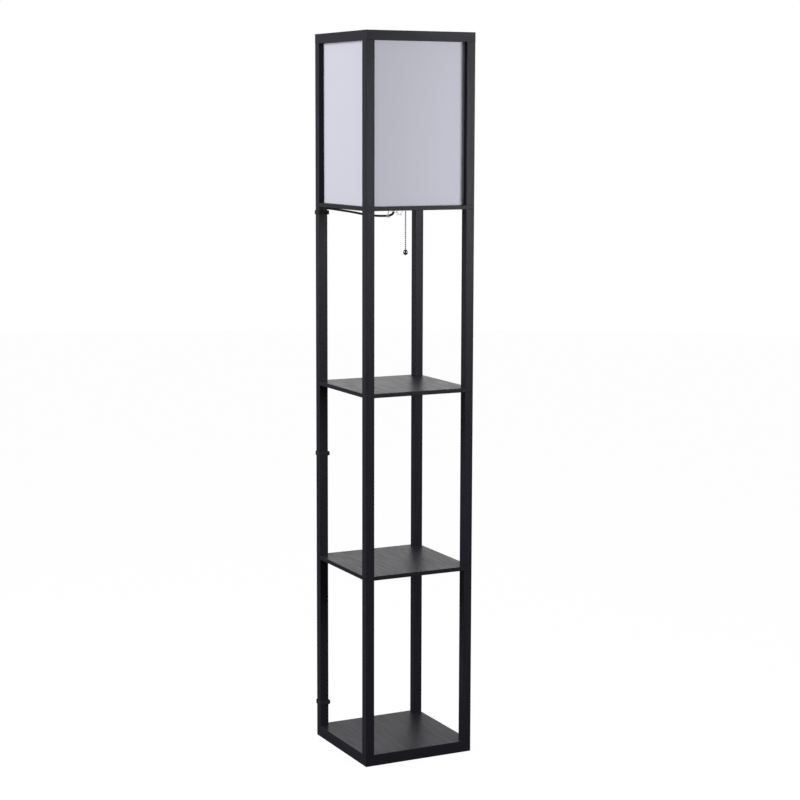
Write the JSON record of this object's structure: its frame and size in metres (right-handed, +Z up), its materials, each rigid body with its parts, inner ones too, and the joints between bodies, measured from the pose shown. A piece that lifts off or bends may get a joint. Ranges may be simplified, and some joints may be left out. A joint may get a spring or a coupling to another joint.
{
  "type": "shelf floor lamp",
  "caption": "Tall square black shelf tower with open storage bays and a pull-chain lamp behind fabric panels at the top.",
  "frame": {"origin": "middle of the square footprint, on the floor under the base board", "axes": "+Z up; -Y is the front that the picture shows on the right, -X the side that it shows on the left; the cord comes down the rear left post"},
  "size_m": [0.2626, 0.2987, 1.591],
  "materials": {
    "black_board": "satin black wood-grain foil on board",
    "zinc_steel": "bright zinc plate",
    "dowel_wood": "plain beech",
    "shade_fabric": "off-white linen weave bonded to a translucent plastic sheet",
    "lampholder_resin": "moulded black phenolic",
    "lampholder_ceramic": "unglazed white",
    "brass_contacts": "plain",
    "chain_nickel": "bright nickel plate",
    "bulb_glass": "frosted",
    "bulb_aluminium": "bright",
    "cord_pvc": "black flexible sheath, slight sheen",
    "tie_plastic": "black",
    "clear_plastic": "clear moulded",
    "strap_fabric": "black hook-and-loop band"
  },
  "bodies": {
    "root": {"base_board": "black_board", "base_bolts": "zinc_steel", "centre_contact": "brass_contacts", "chain_guide": "chain_nickel", "clip_screws": "zinc_steel", "contact_sleeve": "brass_contacts", "cord": "cord_pvc", "cord_bush": "cord_pvc", "cord_clip_empty": "clear_plastic", "cord_clip_held": "clear_plastic", "cord_hank": "cord_pvc", "cord_straps": "strap_fabric", "front_panel": "shade_fabric", "hank_tie": "tie_plastic", "lamp_shelf": "black_board", "lampholder_core": "lampholder_ceramic", "lampholder_cup": "lampholder_resin", "lampholder_shell": "lampholder_resin", "left_panel": "shade_fabric", "lock_nut": "zinc_steel", "lower_post_front_left": "black_board", "lower_post_front_right": "black_board", "lower_post_rear_left": "black_board", "lower_post_rear_right": "black_board", "lower_shelf": "black_board", "middle_post_front_left": "black_board", "middle_post_front_right": "black_board", "middle_post_rear_left": "black_board", "middle_post_rear_right": "black_board", "middle_shelf": "black_board", "plug": "cord_pvc", "plug_pins": "brass_contacts", "post_inserts": "zinc_steel", "rear_panel": "shade_fabric", "right_panel": "shade_fabric", "rod_washer": "zinc_steel", "shade_post_front_left": "black_board", "shade_post_front_right": "black_board", "shade_post_rear_left": "black_board", "shade_post_rear_right": "black_board", "shelf_studs": "zinc_steel", "threaded_rod": "zinc_steel", "top_frame_dowels": "dowel_wood", "top_frame_screws": "zinc_steel", "top_rail_front": "black_board", "top_rail_left": "black_board", "top_rail_rear": "black_board", "top_rail_right": "black_board", "upper_post_front_left": "black_board", "upper_post_front_right": "black_board", "upper_post_rear_left": "black_board", "upper_post_rear_right": "black_board"},
    "pull_chain": {"pull_chain_top": "chain_nickel"},
    "chain_upper": {"pull_chain_upper": "chain_nickel"},
    "chain_lower": {"pull_chain_lower": "chain_nickel", "chain_end_ball": "chain_nickel"},
    "bulb": {"bulb_globe": "bulb_glass", "bulb_cap": "bulb_aluminium"}
  },
  "joints": [
    {"name": "chain_pull", "type": "slide", "parent": "root", "child": "pull_chain", "axis": [0, 0, -1], "range_m": [0, 0.008], "stiffness_N_per_m": 500, "springref_m": -0.002},
    {"name": "chain_swing_front", "type": "hinge", "parent": "pull_chain", "child": "chain_upper", "pos_m": [0.0292, 0, 1.2121], "axis": [1, 0, 0], "range_deg": [-25, 25]},
    {"name": "chain_swing_side", "type": "hinge", "parent": "chain_upper", "child": "chain_lower", "pos_m": [0.0292, 0, 1.1676], "axis": [0, 1, 0], "range_deg": [-30, 30]},
    {"name": "bulb_lift", "type": "slide", "parent": "root", "child": "bulb", "axis": [0, 0, 1], "range_m": [0, 0.36]}
  ]
}
